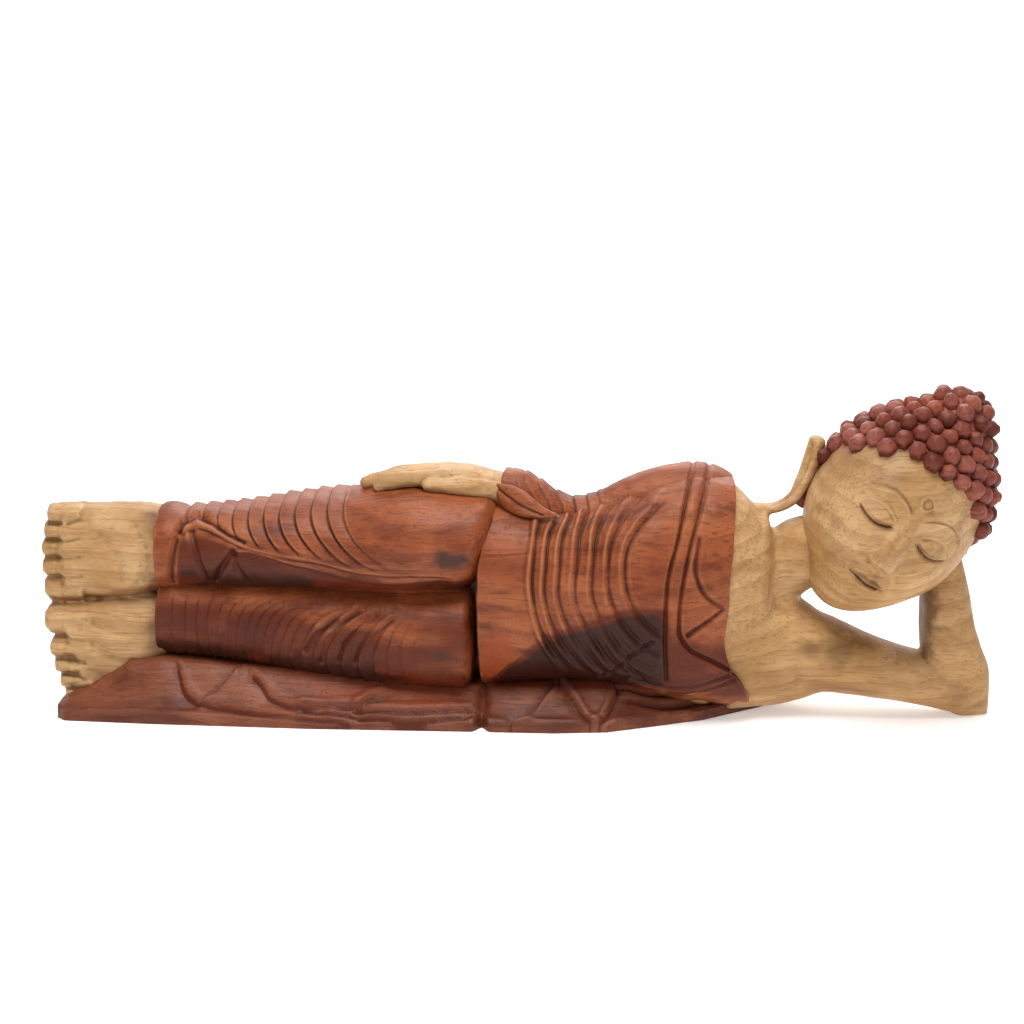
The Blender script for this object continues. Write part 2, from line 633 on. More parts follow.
def place_mesh(name, mesh, material, extra_stain=0.0):
    """Gives a mesh its wear, stain and knots, its wood and its place on the statue."""
    points, normals, edges = arrays_of(mesh)
    worn = worn_amount(points, normals, edges)
    if callable(extra_stain):
        extra_stain = extra_stain(points, normals)
    print(name, "wear at 2, 10, 90 and 98 %:", np.percentile(worn, [2, 10, 90, 98]).round(3))
    add_values(mesh, "worn", worn)
    add_values(mesh, "stain", stain_amount(points, normals) + extra_stain)
    add_values(mesh, "knot", knot_amount(points, normals))
    mesh.materials.clear()
    mesh.materials.append(material)
    piece = bpy.data.objects.new(name, mesh)
    bpy.context.scene.collection.objects.link(piece)
    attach(piece, "root")
    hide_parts(NODE)
    mesh.calc_loop_triangles()
    TRIANGLE_COUNTS[name] = len(mesh.loop_triangles)


def carved_limb(name, material, relief, extra_stain=0.0, **form):
    """A limb's loft with its relief cut in along its normals."""
    grid = limb_grid(**form)
    normal = grid_normals(grid)
    grid = grid + normal * relief(grid, normal)[..., None]
    place_mesh(name, mesh_from(name, *closed_loft(grid)), material, extra_stain)


print("pieces will replace", NODE)

# %% [markdown]
# ## Fused skins
# Where forms flow into one another, as on skin, lofts are joined by a voxel remesh, which makes one
# skin of small squares, and are then smoothed. A boolean union would keep hard seams.

# %% Fused skins


def raw_object(name, forms):
    """One object holding several closed lofts."""
    points, quads, triangles, start = [], [], [], 0
    for form_points, form_quads, form_triangles in forms:
        points.append(form_points)
        quads.append(form_quads + start)
        triangles.append(form_triangles + start)
        start += len(form_points)
    mesh = mesh_from(name, np.vstack(points), np.vstack(quads), np.vstack(triangles))
    made = bpy.data.objects.new(name, mesh)
    bpy.context.scene.collection.objects.link(made)
    return made


def fused_mesh(name, forms, voxel, soften):
    """Forms fused into one skin of small squares, with the joins between them softened."""
    block = raw_object(name, forms)
    remesh = block.modifiers.new("fuse", "REMESH")
    remesh.mode = "VOXEL"
    remesh.voxel_size = voxel / 1000.0
    remesh.use_smooth_shade = True
    relax = block.modifiers.new("soften", "SMOOTH")
    relax.factor = 0.5
    relax.iterations = soften
    mesh = bpy.data.meshes.new_from_object(block.evaluated_get(bpy.context.evaluated_depsgraph_get()))
    bpy.data.objects.remove(block)
    mesh.name = name
    return mesh


def carve_mesh(mesh, relief):
    """Moves each point of a mesh along its normal by relief(points, normals), in millimetres."""
    points, normals, _ = arrays_of(mesh)
    points = points + normals * relief(points, normals)[:, None]
    set_points(mesh, points)
    mesh.update()
    return mesh


def even_out(mesh, share, rounds):
    """Moves each point of a mesh towards the middle of its neighbours, by share(points), a few times."""
    points, _, edges = arrays_of(mesh)
    weight = 0.5 * share(points)[:, None]
    for _ in range(rounds):
        around = np.stack([neighbour_mean(points[:, k], edges, len(points)) for k in range(3)], axis=1)
        points += weight * (around - points)
    set_points(mesh, points)
    mesh.update()


print("helpers for fused skins ready")

# %% [markdown]
# ## Upper leg
# The robe lies over the upper leg in shingled folds, each a little longer than the last, that
# end on a long sweeping hem. Below it a second fold starts from a pleat near the ankle. A fold
# line bows away from straight with the square of how far it has run down the leg.

# %% Upper leg
UPPER_LEG = [
    (-227, 1, 101, 31, 26.5),
    (-205, 1, 101, 32, 26),
    (-175, 0, 102.5, 36, 27.5),
    (-140, -1, 105, 41, 31),
    (-100, -2, 107.5, 46, 34),
    (-62, -3, 109.5, 50, 36.5),
    (-34, -3, 109, 48, 33),
]
SHINGLE_START, SHINGLE_END, SHINGLE_STEP = -210.0, -107.0, 10.1
SHINGLE_HEIGHT, SHINGLE_BOW, SHINGLE_WANDER = 3.6, 0.0193, 0.9
LEG_TOP, LEG_TOP_SLOPE = 128.0, 0.09  # height of the line at x = -200 that the folds run down from
HEM_DROP, HEM_LIP_WIDTH, PLEAT_WIDTH = 2.4, 2.8, 2.3
HIGH_HEM = rounded([
    (-212, 115), (-207, 119), (-200, 120), (-192, 118), (-179, 113), (-169, 109), (-154, 106),
    (-140, 104), (-118, 101), (-107, 98), (-82, 95), (-60, 96), (-39, 95),
])
LOW_HEM = rounded([
    (-178, 105), (-168, 106), (-154, 103), (-139, 99), (-125, 96), (-110, 92), (-96, 89), (-82, 88),
    (-60, 90), (-38, 92),
])
LOOP_SHADOW = [(-213, 117), (-211, 120.5), (-203, 124), (-191, 121), (-180, 115.5), (-170, 112)]
PLEATS = [
    ([(-212, 116), (-215, 105), (-217, 94), (-218, 82)], 3.0),
    ([(-205, 118), (-202, 107), (-199, 95), (-195, 83)], 2.4),
    ([(-178, 105), (-184, 96), (-190, 83)], 3.2),
    ([(-178, 105), (-176, 96), (-170, 84)], 2.0),
]


def upper_leg_relief(grid, normal):
    """Shingles above the high hem, drops below both hems, and pleats at the ankle."""
    x, z = grid[..., 0], grid[..., 2]
    seen = front(normal)
    drop = np.maximum(LEG_TOP + LEG_TOP_SLOPE * (x + 200.0) - z, 0.0)
    along = x - SHINGLE_BOW * drop**2 + SHINGLE_WANDER * cell_noise(grid, 26.0, 1)
    hem = np.interp(x, *np.array(HIGH_HEM).T)
    in_shingles = smooth(SHINGLE_START, SHINGLE_START + 2, along)
    in_shingles = in_shingles * smooth(SHINGLE_END, SHINGLE_END - 2, along)
    above = np.where(normal[..., 1] < 0, smooth(hem + 1.5, hem + 7, z), smooth(100, 112, z))
    strength = 0.8 + 0.25 * cell_noise(grid, 18.0, 2)
    phase = (along - SHINGLE_START) / SHINGLE_STEP
    height = SHINGLE_HEIGHT * in_shingles * above * strength * shingles(phase)
    for hem_line, fade, lip in ((HIGH_HEM, 9.0, 0.6), (LOW_HEM, 10.0, 0.5)):
        height += seen * under_ledge(x, z, hem_line, HEM_DROP, fade)
        height += seen * lip * stroke(x, z, hem_line, HEM_LIP_WIDTH)
    height -= seen * 2.2 * stroke(x, z, LOOP_SHADOW, 1.6)
    for line, depth in PLEATS:
        height -= seen * depth * stroke(x, z, rounded(line, 12), PLEAT_WIDTH)
    height += 1.6 * ridge(x, -222, 6.5) - 1.2 * ridge(x, -211.5, 2.2) * smooth(112, 118, z)
    return height + HANDWORK * cell_noise(grid, HANDWORK_SIZE, 4)


def lean_hip(grid):
    """Leans the hip's round end, so that its top reaches past its bottom."""
    grid = grid.copy()
    grid[..., 0] += 0.28 * smooth(-80, -20, grid[..., 0]) * (grid[..., 2] - 104)
    return grid


carved_limb(
    "upper_leg", ROBE, upper_leg_relief, leg_shade,
    stations=UPPER_LEG, caps=(2, 17), square=2.15, rings=330, sides=170, bend=lean_hip,
    crowding=FRONT_CROWDING,
)
print("upper leg triangles:", TRIANGLE_COUNTS["upper_leg"])

# %% [markdown]
# ## Lower leg
# The lower leg carries upright folds at the shin, then deeper bowed ones behind the knee. Each
# bowed fold is part of a circle that slides along the leg.

# %% Lower leg
LOWER_LEG = [
    (-228, 0, 58, 28, 27),
    (-200, 0, 57, 30, 27),
    (-160, -2, 55, 36, 29),
    (-120, -3, 52.5, 42, 32),
    (-80, -4, 51, 46, 34),
    (-36, -4, 50, 48, 35.5),
]
BOW_RADIUS, BOW_HEIGHT, BOW_STEP, BOW_WANDER = 33.0, 39.5, 8.8, 3.4
FOLD_DEPTHS = [(-226, 0), (-215, 1.2), (-160, 1.5), (-125, 2.4), (-90, 2.4), (-62, 0.8), (-48, 0)]
GOUGE_MARKS = [
    ([(-112, 66), (-118, 61), (-125, 55), (-131, 46)], 2.2, 2.2),
    ([(-99, 71), (-110, 63), (-118, 53), (-122, 38)], 1.4, 1.6),
    ([(-87, 69), (-99, 60), (-107, 51), (-110, 40)], 1.4, 1.6),
    ([(-77, 66), (-90, 57), (-97, 48), (-100, 40)], 1.2, 1.6),
]


def lower_leg_relief(grid, normal):
    """Upright folds that bow more and more towards the knee, and a few deep gouge marks."""
    x, z = grid[..., 0], grid[..., 2]
    bow = np.sqrt(np.maximum(BOW_RADIUS**2 - (z - BOW_HEIGHT) ** 2, 0.0))
    bow = bow * smooth(-215, -120, x)
    depth = np.interp(x, *np.array(FOLD_DEPTHS).T)
    in_height = smooth(80, 66, z) * (0.7 + 0.6 * cell_noise(grid, 17.0, 6))
    phase = (x + bow + BOW_WANDER * cell_noise(grid, 25.0, 7) + 200.0) / BOW_STEP
    height = depth * in_height * shingles(phase) * front(normal)
    for line, cut, width in GOUGE_MARKS:
        height -= cut * stroke(x, z, line, width) * front(normal)
    return height + HANDWORK * cell_noise(grid, HANDWORK_SIZE, 8)


carved_limb(
    "lower_leg", ROBE, lower_leg_relief, leg_shade,
    stations=LOWER_LEG, caps=(2, 9), square=2.3, blunt=2.6, rings=280, sides=150, crowding=FRONT_CROWDING,
)
print("lower leg triangles:", TRIANGLE_COUNTS["lower_leg"])

# %% [markdown]
# ## Body in its robe
# Rings of thin folds spread from the breast, each a lit ridge with a dark valley on the feet's
# side. Two bands run down from the shoulder, and a pleat zigzags between them and the neckline.

# %% Body in its robe
TORSO = [
    (-18, -1, 76, 49, 60),
    (10, -2, 76, 51, 57),
    (36, -3, 76, 51, 54.5),
    (60, -2, 77, 50, 60),
    (90, 0, 78, 49, 70),
    (112, 1, 79, 47, 74),
    (124, 2, 78, 45, 72.5),
]
RING_CENTRE = (115.0, 103.0)
RING_RADII = [46.0, 57.0, 67.5, 77.5, 87.5, 96.0, 104.0, 112.0]
RING_HEIGHT, RING_WANDER, BAND_HEIGHT = 2.0, 2.4, 0.9
GROOVE_DEPTH, GROOVE_WIDTH = 2.6, 1.2
BREAST_EDGE, BREAST_BEND = 127.0, 23.0  # where the robe ends at the top, and how much farther below
CORE = [(-46, 2, 74, 22, 54), (-30, 2, 74, 22, 54), (10, 2, 74, 26, 52)]  # the wood in the cleft's foot
SHARP_LINES = [
    [(106, 160), (103, 148), (96, 114.5), (92, 98.5), (90.5, 79), (90, 60), (91, 29)],
    [
        (116, 158), (111.5, 141), (105, 116), (100.5, 92), (98.5, 72), (99, 60), (105, 51), (119, 43),
        (132, 35),
    ],
    [(110, 120), (108.4, 98.5), (113, 86.6), (125.5, 76)],
    [(125.5, 76), (115, 68), (104, 60)],
    [(134, 34), (119, 28), (106, 23), (87, 23), (69, 29)],
    [(133, 29), (119, 22), (104, 16), (87, 15.5), (67, 21)],
    [(61, 37), (67, 44), (82, 56)],
    [(66, 43), (72, 33), (79, 26)],
    [(61, 37), (56, 33), (50, 30)],
]


def neckline(z):
    """Where the robe ends on the breast, at each height."""
    return BREAST_EDGE + BREAST_BEND * smooth(62, 8, z) ** 1.5


def thin_ridges(phase):
    """A thin soft ridge for each whole number of phase, with a valley on the breast's side of it."""
    from_ridge, from_valley = (np.abs((phase - middle + 0.5) % 1.0 - 0.5) for middle in (0.62, 0.26))
    return ridge(from_ridge, 0.0, 0.20) - 0.85 * ridge(from_valley, 0.0, 0.14)


def band_swell(x, z):
    """The two bands down from the shoulder swell a little between their grooves."""
    middle = [(111, 159), (107, 144), (100.5, 115), (96.5, 95), (94.5, 75), (94.5, 60), (96, 45)]
    return stroke(x, z, rounded(middle), 3.4)


def torso_relief(grid, normal):
    """Rings of folds on the waist and V-grooves along the bands and pleats."""
    x, z = grid[..., 0], grid[..., 2]
    seen = front(normal)
    dx, dz = x - RING_CENTRE[0], z - RING_CENTRE[1]
    radius = np.hypot(dx, dz * np.where(dz > 0, 1.15, 0.95)) + RING_WANDER * cell_noise(grid, 21.0, 9)
    phase = np.interp(radius, RING_RADII, np.arange(len(RING_RADII)))
    inside = smooth(91, 84, x) * smooth(28, 42, z) * smooth(RING_RADII[0] - 1, RING_RADII[0] + 4, radius)
    inside = inside * smooth(RING_RADII[-1] + 0.5, RING_RADII[-1] - 2, radius)
    uneven = 0.8 + 0.4 * cell_noise(grid, 15.0, 24)
    height = RING_HEIGHT * inside * uneven * thin_ridges(phase) * seen
    height -= GROOVE_DEPTH * deepest(x, z, SHARP_LINES, GROOVE_WIDTH) * seen
    height += BAND_HEIGHT * band_swell(x, z) * seen
    return height + 0.5 * cell_noise(grid, 11.0, 10) + 0.2 * cell_noise(grid, 4.0, 25)


def reach_edges(grid):
    """Moves the torso's ends to the robe's curved edge on the breast and to its hem at the hip."""
    grid = grid.copy()
    x, z = grid[..., 0].copy(), grid[..., 2]
    grid[..., 0] += (neckline(z) - BREAST_EDGE) * smooth(70, 124, x)
    grid[..., 0] -= 4.0 * smooth(135, 95, z) * smooth(25, -15, x)
    return grid


carved_limb(
    "robed_body", ROBE, torso_relief, body_stain,
    stations=TORSO, caps=(4, 1.5), square=2.3, rings=210, sides=290, bend=reach_edges,
    crowding=FRONT_CROWDING,
)


def no_relief(grid, normal):
    """Leaves a form as it is."""
    return np.zeros(grid.shape[:-1])


carved_limb("cleft_wood", ROBE, no_relief, extra_stain=-0.75, stations=CORE, caps=(2, 2), square=4.0)
print("body triangles:", TRIANGLE_COUNTS["robed_body"])

# %% [markdown]
# ## Sleeve
# The left arm lies along the side in its sleeve. The cloth bunches in the crook of the arm and
# ends at the wrist in a leaf-shaped corner.

# %% Sleeve
SLEEVE = [
    (123, 4, 128, 23, 24),
    (110, 4, 132, 24, 26.5),
    (92, 3, 133, 21, 24),
    (72, 0, 130, 17, 21),
    (52, -3, 125.5, 15, 16.5),
    (32, -4, 124, 14, 13.5),
    (12, -4, 130, 15, 14.5),
    (-4, -3, 138.5, 15.5, 15.5),
    (-14, -3, 142, 15, 14),
]
SLEEVE_FOLD, SLEEVE_FOLD_STEP, SLEEVE_GROOVE = 1.4, 8.0, 1.8
CUFF_CORNER = [
    (-15, -17, 145, 2.5, 3.0), (-8, -21.5, 141, 3.2, 7.0), (2, -26, 136, 3.4, 7.5),
    (12, -29, 132.5, 3.0, 4.2), (23, -30, 130, 1.6, 1.2),
]


def cuff_relief(grid, normal):
    """A crease along the middle of the cuff's corner, where the cloth folds back."""
    crease = [(-14, 145), (0, 136.5), (14, 131)]
    return -1.1 * stroke(grid[..., 0], grid[..., 2], crease, 1.1) * front(normal)


def sleeve_relief(grid, normal):
    """Bunched folds between the wrist and the crook, and the bands carried over the shoulder."""
    x, z = grid[..., 0], grid[..., 2]
    inside = smooth(-8, 4, x) * smooth(58, 40, x)
    folds = shingles((x + 0.3 * z + 2.0 * cell_noise(grid, 14.0, 11)) / SLEEVE_FOLD_STEP)
    height = SLEEVE_FOLD * inside * folds
    height -= SLEEVE_GROOVE * deepest(x, z, SHARP_LINES[:2], 1.25) * front(normal)
    return height + 0.3 * cell_noise(grid, 7.0, 12)


carved_limb("sleeve", ROBE, sleeve_relief, stations=SLEEVE, caps=(2, 2), rings=180, sides=100)
carved_limb("cuff_corner", ROBE, cuff_relief, stations=CUFF_CORNER, caps=(2, 2), rings=70, sides=56)
print("sleeve triangles:", TRIANGLE_COUNTS["sleeve"])

# %% [markdown]
# ## Cloth under the figure
# The robe's lower edge spreads on the ground as a slab. It is a height over its plan, worked out
# on a grid that follows its front and back edges, with the folds cut in as V-grooves.

# %% Cloth under the figure
SLAB_EDGE, SLAB_FRONT, SLAB_BACK, SLAB_RISE_RUN = 8.5, 58.5, 50.0, 28.0
NOTCH_X, NOTCH_WIDTH, NOTCH_DEPTH = -22.0, 3.2, 9.0  # where the front edge is split below the hip
LEDGE_DEPTH, LEDGE_UNEVEN, LEDGE_FADE = 4.4, 1.1, 3.4
LEDGE_LIP, LEDGE_LIP_AWAY, LEDGE_LIP_WIDTH = 1.3, 2.2, 2.4
FRONT_SHARES = [  # x, and the front edge there as a share of SLAB_FRONT
    (-290, -0.87), (-230, -0.94), (-130, -1.0), (-30, -0.985), (22, -0.985), (55, -0.91), (86, -0.64),
    (114, -0.39), (150, 0.14), (158, 0.30), (164, 0.44),
]
SLAB_HEIGHTS = [  # x, and the height of the slab's middle there
    (-290, SLAB_EDGE + 0.5), (-268, 18), (-245, 33), (-226, 35), (-134, 30.5), (-71, 25), (-28, 22),
    (36, 29), (62, 29), (96, 24), (120, 18), (150, SLAB_EDGE + 1),
]
SLAB_GROOVES = [
    [(-213, -34), (-207, -44), (-198, -48.5), (-182, -51), (-161, -54), (-103, -57.5)],
    [(-179, -36), (-186.5, -43), (-195, -47.5)],
    [(-165.5, -36.5), (-158, -42), (-155, -45.5), (-149, -48), (-98, -49.5), (-74, -51), (-31, -48)],
    [(-133, -51.5), (-92, -55), (-62, -57.5), (-34, -52)],
    [(-98, -49.5), (-92, -45), (-84, -42.5)],
    [(24.6, -32.6), (17, -41), (7.8, -51.7), (-3, -57.5)],
    [(25, -33), (38, -47), (48, -57)],
    [(48, -57), (57, -43), (60, -34), (59, -28)],
    [(59, -28), (72, -27), (89.5, -20), (107.5, -8), (126, 20)],
    [(67.5, -33), (90, -26.5), (114, -12), (133, 25)],
]


def dropped(edge, shares):
    """The slab's edge, repeated at shares of its own height."""
    return edge * np.stack([np.ones_like(shares), np.ones_like(shares), shares], axis=-1)


def slab_grid():
    """Sections across the slab: its top from front to back, then its two front and back faces."""
    stations = np.unique(np.concatenate([np.linspace(-288, 163, 440), np.linspace(-29, -15, 29)]))
    x = stations[:, None]
    notch = ridge(x, NOTCH_X, NOTCH_WIDTH)
    rounding = 5 * smooth(-282, -288, x) + 4 * smooth(156, 163, x)
    low = np.interp(x, *np.array(FRONT_SHARES).T) * SLAB_FRONT + NOTCH_DEPTH * notch + rounding
    high = SLAB_BACK - 10 * smooth(130, 163, x) - rounding
    share = np.concatenate([np.linspace(0, 0.35, 60), np.linspace(0.35, 1, 31)[1:]])[None]
    y = low + (high - low) * share
    x = x * np.ones_like(y)
    inward = np.minimum(y - low, (high - y) * 1.2)
    middle = np.interp(x, *np.array(SLAB_HEIGHTS).T)
    top = SLAB_EDGE + (middle - SLAB_EDGE) * smooth(0, SLAB_RISE_RUN, inward)
    top = top - 1.5 * (1 - smooth(0, 1.8, inward))
    plan = np.stack([x, y, np.zeros_like(y)], axis=-1)
    depth = LEDGE_DEPTH + LEDGE_UNEVEN * cell_noise(plan, 17.0, 26)
    for groove in SLAB_GROOVES:
        away = side_of(x, y, rounded(groove))
        ledge = smooth(-0.5, 0.8, away) * np.exp(-np.maximum(away, 0) / LEDGE_FADE)
        top = top - depth * ledge + LEDGE_LIP * ridge(away, -LEDGE_LIP_AWAY, LEDGE_LIP_WIDTH)
    surface = np.stack([x, y, top], axis=-1)
    surface[..., 2] += 0.45 * cell_noise(surface, 9.0, 13) * smooth(0, 4, inward)
    steps = np.linspace(0, 1, 9)
    back, face = dropped(surface[:, -1:], 1 - steps[1:]), dropped(surface[:, :1], steps[:-1])
    grid = np.concatenate([surface, back, face], axis=1)
    return grid[:, ::-1]


def groove_stain(points):
    """Dark stain along the foot of each ledge of the spread cloth, and a rust patch beside the leg."""
    x, y = points[:, 0], points[:, 1]
    dark = np.zeros(len(points))
    for groove in SLAB_GROOVES:
        dark = np.maximum(dark, ridge(side_of(x, y, rounded(groove)), 0.5, 0.8))
    rust = smooth(-145, -115, x) * smooth(-22, -50, x) * smooth(-56, -48, y) * smooth(0, -20, y)
    return 0.5 * rust * (0.8 + 0.6 * cell_noise(points * (0.4, 1, 1), 12.0, 33)) - 0.5 * dark


slab_arrays = closed_loft(slab_grid())
place_mesh("spread_cloth", mesh_from("spread_cloth", *slab_arrays), CLOTH, groove_stain(slab_arrays[0]))
print("cloth triangles:", TRIANGLE_COUNTS["spread_cloth"])

# %% [markdown]
# ## Bare chest, neck, arm and ear
# Skin flows from one form into the next, so these lofts are fused into one skin of small
# squares and softened where they meet. The shallow valleys beside the neck and at the armpit
# are cut afterwards.

# %% Bare chest, neck, arm and ear
CHEST = [(92, 2, 77, 44, 69), (122, 2.5, 76.5, 43, 71.5), (134, 4, 75.5, 39.5, 63), (141, 5, 75, 36.5, 56.5)]
SHOULDER = [(130, 5, 40, 37, 39), (152, 7, 39, 34, 36.5), (168, 7, 39, 31, 33.5), (181, 6, 40, 28, 30)]
UPPER_ARM = [
    (150, 6, 46, 32, 37),
    (177, 5, 39.5, 29, 27),
    (196, 4, 35.5, 26.5, 22.5),
    (220, 3, 29.5, 24.5, 18.5),
    (250, 3, 22.8, 21.5, 16.2),
    (272, 4, 17, 17, 15.5),
]
FOREARM = [
    (284, 8, -3, 7.5, 9),
    (279.5, 6, 8, 12, 13.5),
    (273, 2, 26, 16, 18.5),
    (267, 1, 45, 17, 17.5),
    (262.5, 5, 80, 15, 14.5),
    (259, 13, 104, 13, 13),
    (258, 24, 122, 11, 14),
]
NECK = [
    (138, 8, 86, 25, 26),
    (152, 8, 91, 21, 21.5),
    (163, 6, 92.5, 21, 20.5),
    (173, 5, 101, 22, 23),
    (186, 3, 106, 24, 22),
    (212, 0, 119, 25, 24),
]
EAR = [
    (182, 4, 173, 8.5, 5.4),
    (178.5, 4, 160, 9, 5.4),
    (173.5, 3, 147.5, 8, 4.8),
    (167, 2, 136.5, 7, 4.0),
    (158, 2, 131.2, 6.5, 3.4),
    (145, 2, 130.4, 6, 3.2),
]
SUPPORT_PALM = [(258, 22, 118, 9, 16), (257, 36, 130, 8, 18), (254, 45, 146, 7, 17)]
SUPPORT_FINGERS = [(-13.5, 20.0, 4.6), (-4.5, 25.0, 5.0), (4.5, 24.0, 5.0), (13.0, 17.0, 4.4)]
NECK_ROUNDS, SKIN_VOXEL, SKIN_SOFTEN = 90, 1.28, 6
SKIN_LINES = [
    ([(148, 128), (149, 106), (152, 88), (160, 76), (168, 68)], 0.8, 3.6),
    ([(175, 72), (177, 54), (172, 26)], 1.0, 3.4),
    ([(128, 147), (140, 138), (150, 131)], 0.8, 1.2),
    ([(178, 172), (175.5, 160), (170.5, 148), (163, 138), (155, 134)], 1.5, 1.6),
]


def support_fingers():
    """Fingers of the right hand spread up the back of the head."""
    made = []
    for x, reach, radius in SUPPORT_FINGERS:
        rows = [(254 + x, 45, 144, radius, radius), (252 + x, 51, 156, radius, radius)]
        rows.append((248 + x * 1.1, 53, 156 + reach * 0.7, radius * 0.85, radius * 0.85))
        made.append(closed_loft(limb_grid(rows, caps=(4, 4), rings=20, sides=20)))
    return made


def away_from_ear(points):
    """1 round the neck's foot and the armpit, where skin runs on smoothly, and 0 on the ear."""
    x, z = points[:, 0], points[:, 2]
    ear = distance_to(x, z, [(a, c) for a, _, c, _, _ in EAR])
    return smooth(9, 18, ear) * smooth(128, 138, x) * smooth(196, 182, x)


def skin_relief(points, normals):
    """Valleys drawn on the front of the skin and the slight waviness of handwork."""
    x, z = points[:, 0], points[:, 2]
    height = 0.3 * cell_noise(points, 9.0, 14)
    for line, cut, width in SKIN_LINES:
        height -= cut * stroke(x, z, rounded(line), width) * smooth(0.2, -0.2, normals[:, 1])
    return height


skin_forms = [
    closed_loft(limb_grid(CHEST, caps=(4, 10.5), square=2.2, blunt=4.0)),
    closed_loft(limb_grid(SHOULDER, caps=(4, 6), square=2.2)),
    closed_loft(limb_grid(UPPER_ARM, caps=(10, 16), square=2.2)),
    closed_loft(limb_grid(FOREARM, caps=(4, 6), square=2.8, blunt=3.5, turn=math.radians(14))),
    closed_loft(limb_grid(NECK, caps=(5, 5))),
    closed_loft(limb_grid(EAR, caps=(3, 3), rings=50, sides=32)),
    closed_loft(limb_grid(SUPPORT_PALM, caps=(5, 6))),
]
skin_mesh = fused_mesh("bare_skin", skin_forms + support_fingers(), SKIN_VOXEL, SKIN_SOFTEN)
even_out(skin_mesh, away_from_ear, NECK_ROUNDS)
place_mesh("bare_skin", carve_mesh(skin_mesh, skin_relief), SKIN)
print("skin triangles:", TRIANGLE_COUNTS["bare_skin"])

# %% [markdown]
# ## Feet
# The feet lie one on the other with their tops to the front and the toes in a row at the left
# end. The grooves between the toes run on a little into the foot.

# %% Feet
UPPER_FOOT = [
    (-222, 1, 101, 25, 24),
    (-240, -2, 100.5, 23, 28),
    (-262, -7, 99.5, 19, 29.5),
    (-286, -10, 99.5, 15.5, 29.5),
]
LOWER_FOOT = [
    (-222, 1, 54, 23, 18),
    (-240, -3, 49, 22, 24),
    (-262, -9, 42, 18, 29),
    (-281, -12, 37.5, 15.5, 30.5),
]
UPPER_TOES = [  # height of a toe, where its tip ends, radius
    (124.0, -298.5, 5.9), (113.5, -301.0, 6.1), (102.5, -302.5, 6.3), (90.5, -302.5, 7.0),
    (76.5, -301.5, 9.3),
]
LOWER_TOES = [
    (56.5, -301.5, 9.8), (38.5, -299.0, 7.0), (27.5, -296.5, 6.0), (17.5, -293.5, 5.6), (9.0, -290.5, 5.2),
]
FOOT_CUTS = [  # long slanting cuts of the gouge over the lower foot, and two on the upper one
    [(-272, 58), (-256, 50), (-238, 46)],
    [(-270, 42), (-256, 33), (-243, 29)],
    [(-284, 33), (-268, 24), (-258, 20)],
    [(-262, 112), (-252, 98), (-250, 84)],
    [(-240, 118), (-233, 100), (-236, 84)],
]
FOOT_CUT_DEPTH, FOOT_CUT_WIDTH, TOE_GROOVE = 1.5, 3.4, 0.9
NAIL_HEIGHT, NAIL_GROOVE = 0.5, 0.25
FOOT_VOXEL, FOOT_SOFTEN = 0.95, 4
TOE_ROOT_DEPTH, TOE_TIP_DEPTH = 14.5, 10.5  # half depths of a toe where it leaves the foot and at its tip


def toes(rows, y, start_x):
    """A row of toes, each a short round limb that ends in a blunt tip."""
    made = []
    for z, tip, radius in rows:
        stations = [
            (start_x, y, z, TOE_ROOT_DEPTH, radius * 1.05),
            (start_x - 10, y, z, TOE_ROOT_DEPTH, radius),
            (tip + radius * 0.7, y - 2, z, TOE_TIP_DEPTH, radius * 1.02),
        ]
        caps = (1.0, radius * 0.7)
        made.append(closed_loft(limb_grid(stations, caps=caps, blunt=2.5, rings=24, sides=32)))
    return made


def foot_relief(points, normals):
    """Grooves between the toes, toenails, and flats left by the gouge."""
    x, z = points[:, 0], points[:, 2]
    seen = smooth(0.3, -0.3, normals[:, 1])
    height = 0.5 * cell_noise(points, 8.0, 15) + 0.3 * cell_noise(points, 3.5, 16)
    for rows in (UPPER_TOES, LOWER_TOES):
        for (z1, tip1, r1), (z2, tip2, r2) in zip(rows[:-1], rows[1:]):
            gap = (z1 - r1 + z2 + r2) / 2
            line = [(min(tip1, tip2) + 4, gap), (-284, gap), (-275, gap + 0.06 * (gap - 70))]
            height -= TOE_GROOVE * stroke(x, z, line, 1.1) * seen
        for toe_z, tip, radius in rows:
            along, across = np.abs(x - tip - 6.0), np.abs(z - toe_z)
            nail = np.maximum(along / (0.55 * radius + 1.5), across / (0.62 * radius))
            height += seen * (NAIL_HEIGHT * smooth(1.0, 0.75, nail) - NAIL_GROOVE * ridge(nail, 1.08, 0.16))
    for line in FOOT_CUTS:
        height -= FOOT_CUT_DEPTH * stroke(x, z, rounded(line, 12), FOOT_CUT_WIDTH) * seen
    return height


feet_forms = [
    closed_loft(limb_grid(UPPER_FOOT, caps=(3, 6), square=3.2)),
    closed_loft(limb_grid(LOWER_FOOT, caps=(3, 6), square=3.0)),
]
feet_forms += toes(UPPER_TOES, -10, -276) + toes(LOWER_TOES, -13, -270)
feet_mesh = fused_mesh("feet", feet_forms, FOOT_VOXEL, FOOT_SOFTEN)
place_mesh("feet", carve_mesh(feet_mesh, foot_relief), SKIN, ankle_stain)
print("feet triangles:", TRIANGLE_COUNTS["feet"])

# %% [markdown]
# ## Left hand
# The left hand rests along the thigh: a flat palm, four straight fingers and the thumb on the
# near side.

